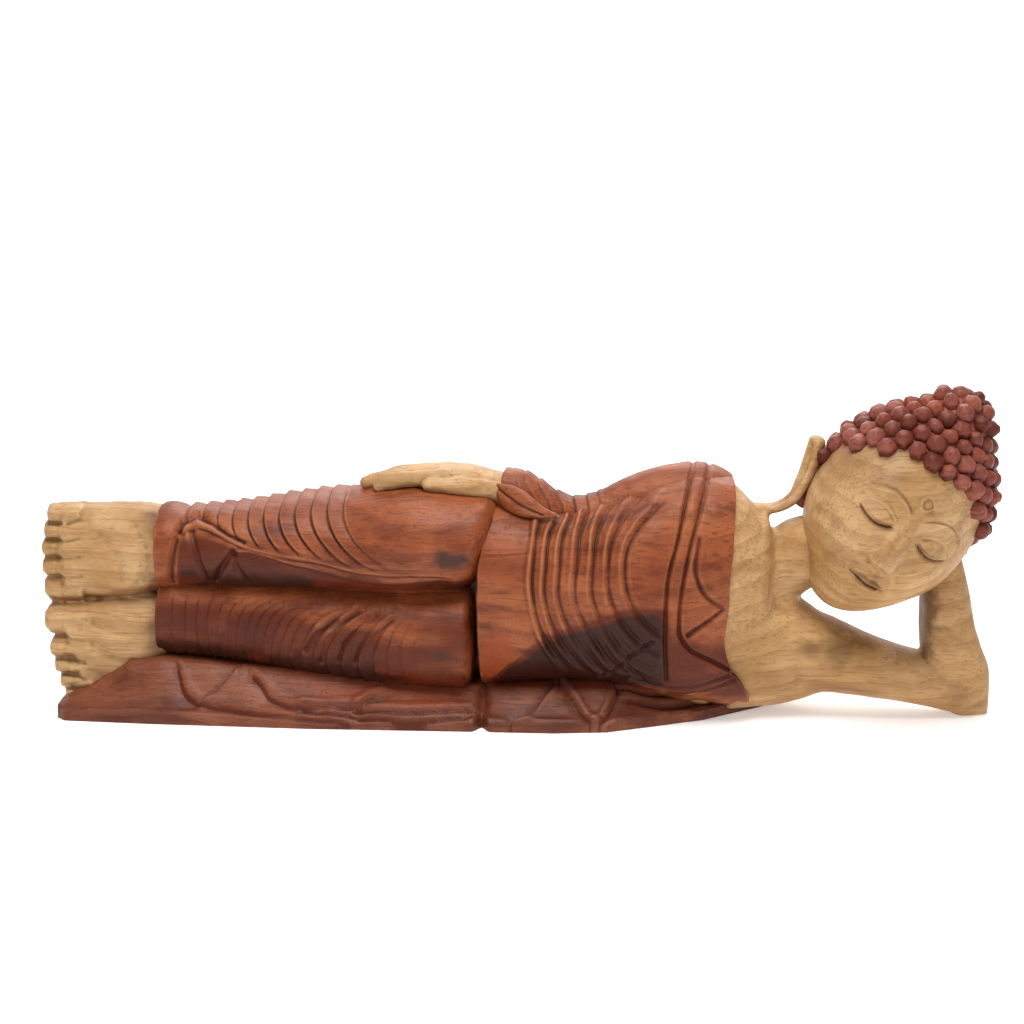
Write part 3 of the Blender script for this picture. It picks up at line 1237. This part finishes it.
# %% Left hand
HAND_VOXEL, HAND_SOFTEN = 0.8, 3
HAND_PALM = [
    (-2, -3, 140, 12, 9),
    (-16, -4, 143, 14.5, 9.5),
    (-34, -5, 147.5, 17, 9.5),
    (-50, -5, 150, 17, 7.5),
]
HAND_FINGERS = [(-17.5, -92, 5.0), (-8.5, -101, 5.2), (0.5, -99, 5.0), (9.0, -92, 4.4)]
HAND_THUMB = [(-14, -14, 142, 6, 6.5), (-34, -20, 146, 6.5, 6), (-56, -22, 147.5, 5, 4.6)]


def hand_forms():
    """The palm, four fingers and the thumb."""
    made = [closed_loft(limb_grid(HAND_PALM, caps=(3, 6), rings=30, sides=48))]
    made.append(closed_loft(limb_grid(HAND_THUMB, caps=(4, 5), rings=30, sides=32)))
    for y, tip, radius in HAND_FINGERS:
        rows = [
            (-46, y, 150.5, radius, radius + 1.2),
            (-66, y, 150.0, radius, radius),
            (-82, y, 147.6, radius, radius),
            (tip + 4, y, 145.4, radius * 0.85, radius * 0.8),
        ]
        made.append(closed_loft(limb_grid(rows, caps=(4, 4), rings=40, sides=32)))
    return made


def hand_relief(points, normals):
    """The flats of a hand shaped with straight cuts."""
    return 0.3 * cell_noise(points, 5.0, 17)


hand_mesh = fused_mesh("left_hand", hand_forms(), HAND_VOXEL, HAND_SOFTEN)
place_mesh("left_hand", carve_mesh(hand_mesh, hand_relief), SKIN)
print("hand triangles:", TRIANGLE_COUNTS["left_hand"])

# %% [markdown]
# ## The head's own directions
# The head is propped on the right hand, so it leans back and is turned a little to the front. Its
# forms are easier to give in its own sideways, upward and facing directions.

# %% The head's own directions
HEAD_CENTRE = np.array([228.0, -1.0, 130.0])
HEAD_TILT, HEAD_TURN = math.radians(35), math.radians(6)
HEAD_HALF = (52.0, 70.0, 54.0)
EYE_LEVEL, EYE_APART, EYE_HALF = 0.0, 20.5, 11.0
BROW_LEVEL, NOSE_BASE, MOUTH_LEVEL, CHIN_LEVEL, URNA_LEVEL = 13.0, -26.0, -38.0, -58.0, 22.0


def head_axes():
    """The head's own sideways, upward and facing directions."""
    side = np.array([math.cos(HEAD_TILT), 0.0, -math.sin(HEAD_TILT)])
    upward = np.array([math.sin(HEAD_TILT), 0.0, math.cos(HEAD_TILT)])
    facing = np.array([0.0, -1.0, 0.0])
    turned_side = side * math.cos(HEAD_TURN) - facing * math.sin(HEAD_TURN)
    turned_facing = facing * math.cos(HEAD_TURN) + side * math.sin(HEAD_TURN)
    return turned_side, upward, turned_facing


def from_head(local):
    """Points given as (sideways, up, forward) of the head, placed in the statue."""
    return HEAD_CENTRE + np.asarray(local) @ np.array(head_axes())


print("the face looks along", np.round(head_axes()[2], 3))

# %% [markdown]
# ## Features of the face
# The face is a height over its front view, written as a sum of soft hills and valleys. The
# proportions are the ones any drawing book gives: the eyes halfway up the head, the brow, the base
# of the nose and the chin at even steps, and the mouth a third of the way from nose to chin.

# %% Features of the face


def bump(w, u, centre, size):
    """A soft round hill of height 1."""
    return np.exp(-(((w - centre[0]) / size[0]) ** 2) - ((u - centre[1]) / size[1]) ** 2)


def lash_line(across):
    """Height of the line where the lids meet, at shares across the eye from its middle."""
    return EYE_LEVEL - 1.0 - 3.4 * (1 - across**2)


def lip_line(side):
    """Height of the line between the lips, at a distance from the face's middle."""
    return MOUTH_LEVEL + 0.9 * (side / 12.0) ** 2 - 0.5 * ridge(side, 0.0, 3.0)


def eye_relief(side, u):
    """A closed eye: the socket, the lid over the ball, the lash line and the crease above the lid."""
    socket = -3.6 * bump(side, u, (EYE_APART - 3, EYE_LEVEL + 3), (13.0, 8.0))
    across = (side - EYE_APART) / EYE_HALF
    lid_top = EYE_LEVEL + 3.0 + 4.2 * (1 - across**2)
    within = smooth(1.15, 0.85, np.abs(across))
    ball = 4.0 * bump(side, u, (EYE_APART, EYE_LEVEL - 0.5), (10.0, 6.2))
    closed = -2.5 * ridge(u, lash_line(across), 0.8) * within
    crease = -1.0 * ridge(u, lid_top, 1.0) * within
    return socket + ball + closed + crease


def nose_relief(w, u):
    """The bridge widening to the tip, the two wings and the nostrils under them."""
    run = np.clip((BROW_LEVEL - 3 - u) / (BROW_LEVEL - 3 - NOSE_BASE), 0, 1)
    bridge = (2.8 + 8.7 * run**1.25) * np.exp(-((np.abs(w) / (3.4 + 3.4 * run)) ** 2.4))
    bridge = bridge * smooth(NOSE_BASE - 2.6, NOSE_BASE + 1.8, u) * smooth(BROW_LEVEL + 6, BROW_LEVEL - 6, u)
    side = np.abs(w)
    tip = 1.6 * bump(w, u, (0, NOSE_BASE + 4.5), (4.6, 4.2))
    wings = 3.6 * bump(side, u, (6.6, NOSE_BASE + 3.6), (3.3, 3.8))
    round_wing = np.hypot(side - 6.6, u - NOSE_BASE - 3.6)
    wing_groove = -0.6 * ridge(round_wing, 5.0, 1.4) * smooth(6, 9, side)
    nostril = -1.6 * bump(side, u, (4.0, NOSE_BASE - 0.8), (1.9, 1.2))
    return bridge + tip + wings + wing_groove + nostril


def mouth_relief(w, u):
    """Full lips with a bow in the upper one, the line between them and the dips round them."""
    side = np.abs(w)
    line = lip_line(side)
    upper_edge = line + (4.2 - 0.9 * ridge(w, 0.0, 1.8)) * (1 - (side / 13.0) ** 2)
    lower_edge = line - 5.4 * (1 - (side / 11.5) ** 2)
    upper = 3.0 * smooth(-0.4, 1.0, u - line) * smooth(upper_edge + 0.7, upper_edge - 1.4, u)
    lower = 3.4 * smooth(-0.4, 1.0, line - u) * smooth(lower_edge - 1.0, lower_edge + 2.2, u)
    upper, lower = upper * smooth(13.0, 9.0, side), lower * smooth(11.5, 7.0, side)
    part = -2.0 * ridge(u, line, 0.8) * smooth(14.5, 11.0, side)
    corner = -0.9 * bump(side, u, (14.0, MOUTH_LEVEL + 1.0), (2.2, 2.4))
    philtrum = -0.9 * bump(w, u, (0, MOUTH_LEVEL + 7.6), (1.7, 3.2))
    mound = 2.6 * bump(w, u, (0, MOUTH_LEVEL), (15.0, 9.5))
    under = -2.0 * bump(w, u, (0, MOUTH_LEVEL - 9.2), (8.5, 2.8))
    return upper + lower + part + corner + philtrum + mound + under


print("height of the lips' line in the middle:", round(float(lip_line(np.array(0.0))), 1))

# %% [markdown]
# ## Head and face
# The head is an egg, and the face is raised on it along the facing direction. A dome modifier and
# sculpting would do it too, but a formula keeps both halves of the face alike.

# %% Head and face
FACE_RINGS, BACK_RINGS, JAW_NARROWING = 150, 51, 0.20


def face_relief(w, u):
    """How far the face stands out from the plain egg of the head, at sideways w and height u."""
    side = np.abs(w)
    brow_line = BROW_LEVEL + 5.2 - ((side - 19.0) / 15.0) ** 2 * 6.5
    above = u - brow_line
    brow = 2.1 * smooth(-1.8, 0.4, above) * np.exp(-np.maximum(above, 0) / 5.0)
    brow = brow * smooth(3, 8, side) * smooth(40, 33, side)
    chin = 3.8 * bump(w, u, (0, CHIN_LEVEL + 4), (10.5, 6.5))
    cheeks = 2.4 * bump(side, u, (27.0, -18.0), (13.0, 13.0))
    fold = -0.8 * stroke(side, u, [(10, -25), (15, -31), (18, -38)], 1.8)
    ring = np.hypot(w, u - URNA_LEVEL)
    urna = 1.9 * smooth(3.9, 2.7, ring) - 0.25 * ridge(ring, 4.6, 1.0)
    return eye_relief(side, u) + nose_relief(w, u) + mouth_relief(w, u) + brow + chin + cheeks + fold + urna


def face_stain(w, u):
    """A darker line where the lids and the lips meet, as stain gathers there."""
    side = np.abs(w)
    across = (side - EYE_APART) / EYE_HALF
    eyes = ridge(u, lash_line(across), 0.9) * smooth(1.15, 0.85, np.abs(across))
    lips = ridge(u, lip_line(side), 0.9) * smooth(14.5, 11.0, side)
    return -0.42 * eyes - 0.30 * lips


def head_grid(sides=230):
    """Rings round the facing direction, close together on the face, with the face raised on them."""
    facing = np.linspace(0.004, math.pi / 2, FACE_RINGS)
    behind = np.linspace(math.pi / 2, math.pi - 0.01, BACK_RINGS)[1:]
    polar = np.concatenate([facing, behind])[:, None]
    angle = np.linspace(0, 2 * math.pi, sides, endpoint=False)[None]
    a, b, c = HEAD_HALF
    w = a * np.sin(polar) * np.cos(angle)
    u = b * np.sin(polar) * np.sin(angle)
    f = c * np.cos(polar) * np.ones_like(angle)
    w = w * (1.0 - JAW_NARROWING * smooth(-10, -70, u))
    return w, u, f + face_relief(w, u) * smooth(0.1, 0.75, f / c)


head_w, head_u, head_f = head_grid()
grid = from_head(np.stack([head_w, head_u, head_f], axis=-1))
grid = grid + grid_normals(grid) * (0.18 * cell_noise(grid, 8.0, 18))[..., None]
lid_stain = face_stain(head_w, head_u) * smooth(0.1, 0.4, head_f / HEAD_HALF[2])
lid_stain = np.append(lid_stain.ravel(), (0.0, 0.0))  # the two points in the middle of the end fans
place_mesh("head", mesh_from("head", *closed_loft(grid)), SKIN, lid_stain)
print("head triangles:", TRIANGLE_COUNTS["head"])

# %% [markdown]
# ## Hair
# The hair is a cap with rows of snail curls. Each curl is carved as a blunt six-sided nugget, cut
# flat by a few strokes of the chisel, with a twist and a size of its own.

# %% Hair
CURL_RADIUS, CURL_SPACING, CURL_HEIGHT = 5.9, 10.8, 7.0
CROWN_HEIGHT, CROWN_RADIUS, HAIRLINE = 62.0, 23.0, 42.0
HAIR_LIFT, HAIR_END = 1.5, -46.0  # hair over the skull, and its lowest height at the back
TEMPLE_DROP, TEMPLE_SIDE, TEMPLE_POWER = 14.0, 40.0, 2.5  # how the hairline falls towards the ears
FLAT_POWER, LONGEST_CORNER = 80, 1.12  # how sharp the edges between a curl's flats are, and their reach
UPRIGHT_FLAT, LEANING_FLAT, TOP_FLAT = 0.93, 0.90, 0.92  # distance of the flats from a curl's middle
draw = np.random.default_rng(11)


def hair_profile():
    """Distance from the head's upright axis and height, down the hair from the topknot's tip."""
    half_wide, half_high = HEAD_HALF[0] + HAIR_LIFT, HEAD_HALF[1] + HAIR_LIFT
    turn = np.linspace(0, 1.75, 40)
    knot = np.stack([CROWN_RADIUS * np.sin(turn), CROWN_HEIGHT + CROWN_RADIUS * np.cos(turn)], axis=1)
    turn = np.linspace(0.45, 2.55, 80)
    skull = np.stack([half_wide * np.sin(turn), half_high * np.cos(turn)], axis=1)
    knot = knot[np.hypot(knot[:, 0] / half_wide, knot[:, 1] / half_high) > 1.0]
    skull = skull[np.hypot(skull[:, 0], skull[:, 1] - CROWN_HEIGHT) > CROWN_RADIUS]
    return np.vstack([knot, skull[skull[:, 1] > HAIR_END]])


def hairline_fall(w):
    """How far the hairline falls below its middle, at sideways w."""
    return TEMPLE_DROP * (np.abs(w) / TEMPLE_SIDE) ** TEMPLE_POWER


def in_face(w, u, f):
    """True where the bare face, ears and neck leave no room for a curl."""
    if f > -4.0 and u < HAIRLINE - hairline_fall(w):
        return True
    return u < -30.0 or (u < -8.0 and f > -16.0)


def curl_places():
    """Middle and outward direction of each curl, in rows round the head's axis."""
    profile = hair_profile()
    steps = np.linalg.norm(np.diff(profile, axis=0), axis=1)
    length = np.concatenate([[0.0], np.cumsum(steps)])
    rows = int(length[-1] / (CURL_SPACING * 0.9))
    places = []
    for row in range(rows + 1):
        at = length[-1] * row / rows
        radius, height = (np.interp(at, length, profile[:, k]) for k in (0, 1))
        ends = [at - 3.0, at + 3.0]
        run = [np.diff(np.interp(ends, length, profile[:, k]))[0] for k in (0, 1)]
        count = max(int(2 * math.pi * radius / CURL_SPACING), 1)
        for k in range(count):
            angle = 2 * math.pi * (k + 0.5 * (row % 2)) / count
            wide, deep = math.cos(angle), math.sin(angle)
            w, f = radius * wide, radius * deep * HEAD_HALF[2] / HEAD_HALF[0]
            if in_face(w, height, f):
                continue
            outward = np.array([-run[1] * wide, run[0], -run[1] * deep])
            places.append((np.array([w, height, f]), outward / np.linalg.norm(outward)))
    return places


def nugget(rings=10, sides=24):
    """A six-sided nugget of radius about 1, as a ball cut flat by thirteen strokes of the chisel.

    A direction's radius is the soft minimum of its distances to the cutting planes: the power mean
    (sum of (cosine / distance)^p)^(-1/p), which rounds the edges between the flats a little.
    """
    sixths = np.arange(6) * math.pi / 3
    upright = [(math.cos(a), math.sin(a), 0.0, UPRIGHT_FLAT) for a in sixths]
    leaning = [(0.72 * math.cos(a), 0.72 * math.sin(a), 0.69, LEANING_FLAT) for a in sixths + math.pi / 12]
    planes = np.array(upright + leaning + [(0.08, 0.0, 1.0, TOP_FLAT)])
    polar = np.linspace(0.03, 2.25, rings)[::-1, None]
    angle = np.linspace(0, 2 * math.pi, sides, endpoint=False)[None]
    upward = np.cos(polar) * np.ones_like(angle)
    way = np.stack([np.sin(polar) * np.cos(angle), np.sin(polar) * np.sin(angle), upward], axis=-1)
    share = np.maximum(way @ planes[:, :3].T, 0.0) / planes[:, 3]
    radius = (share**FLAT_POWER).sum(axis=-1) ** (-1 / FLAT_POWER)
    return way * np.minimum(radius, LONGEST_CORNER)[..., None]


def hair_meshes():
    """All curls as one set of arrays, each turned, sized, leaned and stained by its own random draw."""
    shape, quads, triangles = closed_loft(nugget())
    all_points, all_quads, all_triangles, shades = [], [], [], []
    for number, (middle, outward) in enumerate(curl_places()):
        lean = unit_rows(outward + draw.normal(0, 0.16, 3))
        across = unit_rows(np.cross(lean, [0.2, 0.1, 1.0]))
        along = np.cross(lean, across)
        twist = draw.uniform(0, math.pi)
        first = across * math.cos(twist) + along * math.sin(twist)
        second = along * math.cos(twist) - across * math.sin(twist)
        wide, tall = CURL_RADIUS * draw.uniform(0.90, 1.14), CURL_HEIGHT * draw.uniform(0.82, 1.08)
        deep = wide * draw.uniform(0.84, 1.05)
        local = middle + shape @ np.array([first * wide, second * deep, lean * tall])
        all_points.append(from_head(local))
        all_quads.append(quads + number * len(shape))
        all_triangles.append(triangles + number * len(shape))
        shades.append(np.full(len(shape), draw.uniform(-0.5, 0.4)))
    return (np.vstack(all_points), np.vstack(all_quads), np.vstack(all_triangles)), np.concatenate(shades)


def hair_cap():
    """The scalp under the curls."""
    profile = hair_profile()
    angle = np.linspace(0, 2 * math.pi, 64, endpoint=False)
    w = profile[:, :1] * np.cos(angle)
    f = profile[:, :1] * np.sin(angle) * HEAD_HALF[2] / HEAD_HALF[0]
    u = np.repeat(profile[:, 1:], len(angle), axis=1)
    hairline = HAIRLINE + 4 - hairline_fall(w)
    bare = smooth(-16, -2, f) * (u < hairline)
    shrink = (1.0 - 0.09 * bare) * (1.0 - 0.26 * smooth(0, -45, u))
    return from_head(np.stack([w * shrink, u, f * shrink], axis=-1))


curl_arrays, curl_shades = hair_meshes()
place_mesh("curls", mesh_from("curls", *curl_arrays), HAIR, curl_shades)
place_mesh("scalp", mesh_from("scalp", *closed_loft(hair_cap())), HAIR)
print("curl triangles:", TRIANGLE_COUNTS["curls"], "and scalp:", TRIANGLE_COUNTS["scalp"])

# %% [markdown]
# ## Floor and screen
# The statue stands on white paper in front of a white screen that glows evenly, as in a small
# photo studio. The screen is so far back that a camera fits in front of it on any side.

# %% Floor and screen
FLOOR_HALF, PAPER_TONE, PAPER_GLOW = 6.0, 0.9, 0.35
SCREEN_Y, SCREEN_WIDE, SCREEN_HIGH, SCREEN_GLOW = 2.4, 3.0, 3.7, 1.05
WALLS_GLOW = 0.38
WHITE = (1.0, 1.0, 1.0, 1.0)


def sheet(name, finish, corners, tone, roughness, glow):
    """A flat sheet of a grey tone that also gives light of its own."""
    mesh = bpy.data.meshes.new(name)
    mesh.from_pydata(corners, [], [(0, 1, 2, 3)])
    material = bpy.data.materials.new(finish)
    material.use_nodes = True
    inputs = material.node_tree.nodes["Principled BSDF"].inputs
    inputs["Base Color"].default_value = (tone, tone, tone, 1.0)
    inputs["Roughness"].default_value = roughness
    inputs["Emission Color"].default_value = WHITE
    inputs["Emission Strength"].default_value = glow
    mesh.materials.append(material)
    made = bpy.data.objects.new(name, mesh)
    bpy.context.scene.collection.objects.link(made)
    return made


signs = [(-1, -1), (1, -1), (1, 1), (-1, 1)]
floor_corners = [(a * FLOOR_HALF, b * FLOOR_HALF, 0) for a, b in signs]
floor = sheet("floor", "white_paper", floor_corners, PAPER_TONE, 0.9, PAPER_GLOW)
screen_corners = [(a * SCREEN_WIDE, SCREEN_Y, SCREEN_HIGH if b > 0 else -0.1) for a, b in signs]
screen = sheet("screen", "lit_screen", screen_corners, 0.0, 0.5, SCREEN_GLOW)
world = bpy.data.worlds.new("white_walls")
bpy.context.scene.world = world
world.use_nodes = True
world.node_tree.nodes["Background"].inputs["Color"].default_value = WHITE
world.node_tree.nodes["Background"].inputs["Strength"].default_value = WALLS_GLOW
print("stage:", floor.name, "and", screen.name)

# %% [markdown]
# ## Lamps and camera
# One broad soft lamp lights the statue from above. Another behind it leaves a sheen on the top, and
# a weak one in front opens the shadows under the folds. The camera has a long lens, as for a
# product photo, and looks down a little.

# %% Lamps and camera
LAMP_AIM = (0.0, 0.0, 0.08)
CAMERA_TARGET = np.array([-0.00233, 0.00056, 0.126])
CAMERA_TURN, CAMERA_RISE, CAMERA_FAR = math.radians(4.0), math.radians(12.0), 1.5111


def soft_lamp(name, place, size, power):
    """A square area lamp at a place in metres, aimed at the statue's middle."""
    light = bpy.data.lights.new(name, "AREA")
    light.size = size
    light.energy = power
    lamp = bpy.data.objects.new(name, light)
    bpy.context.scene.collection.objects.link(lamp)
    lamp.location = place
    aim = bpy.data.objects.new(name + "_aim", None)
    bpy.context.scene.collection.objects.link(aim)
    aim.location = LAMP_AIM
    track = lamp.constraints.new("TRACK_TO")
    track.target = aim
    track.track_axis, track.up_axis = "TRACK_NEGATIVE_Z", "UP_Y"


soft_lamp("top_lamp", (0.05, -0.40, 1.35), 0.7, 15.0)
soft_lamp("rear_lamp", (0.1, 0.95, 1.1), 1.0, 11.0)
soft_lamp("front_lamp", (-0.5, -1.6, 0.7), 1.0, 2.0)
camera_data = bpy.data.cameras.new("camera")
camera_data.lens, camera_data.sensor_width = 85.0, 36.0
camera_data.dof.use_dof = False
camera = bpy.data.objects.new("camera", camera_data)
bpy.context.scene.collection.objects.link(camera)
away = np.array([
    math.sin(CAMERA_TURN) * math.cos(CAMERA_RISE),
    -math.cos(CAMERA_TURN) * math.cos(CAMERA_RISE),
    math.sin(CAMERA_RISE),
])
camera.location = CAMERA_TARGET + away * CAMERA_FAR
camera.rotation_euler = (math.pi / 2 - CAMERA_RISE, 0.0, CAMERA_TURN)
bpy.context.scene.camera = camera
bpy.context.scene.view_settings.view_transform = "Standard"
print("pieces:", len(TRIANGLE_COUNTS), "triangles in all:", sum(TRIANGLE_COUNTS.values()))
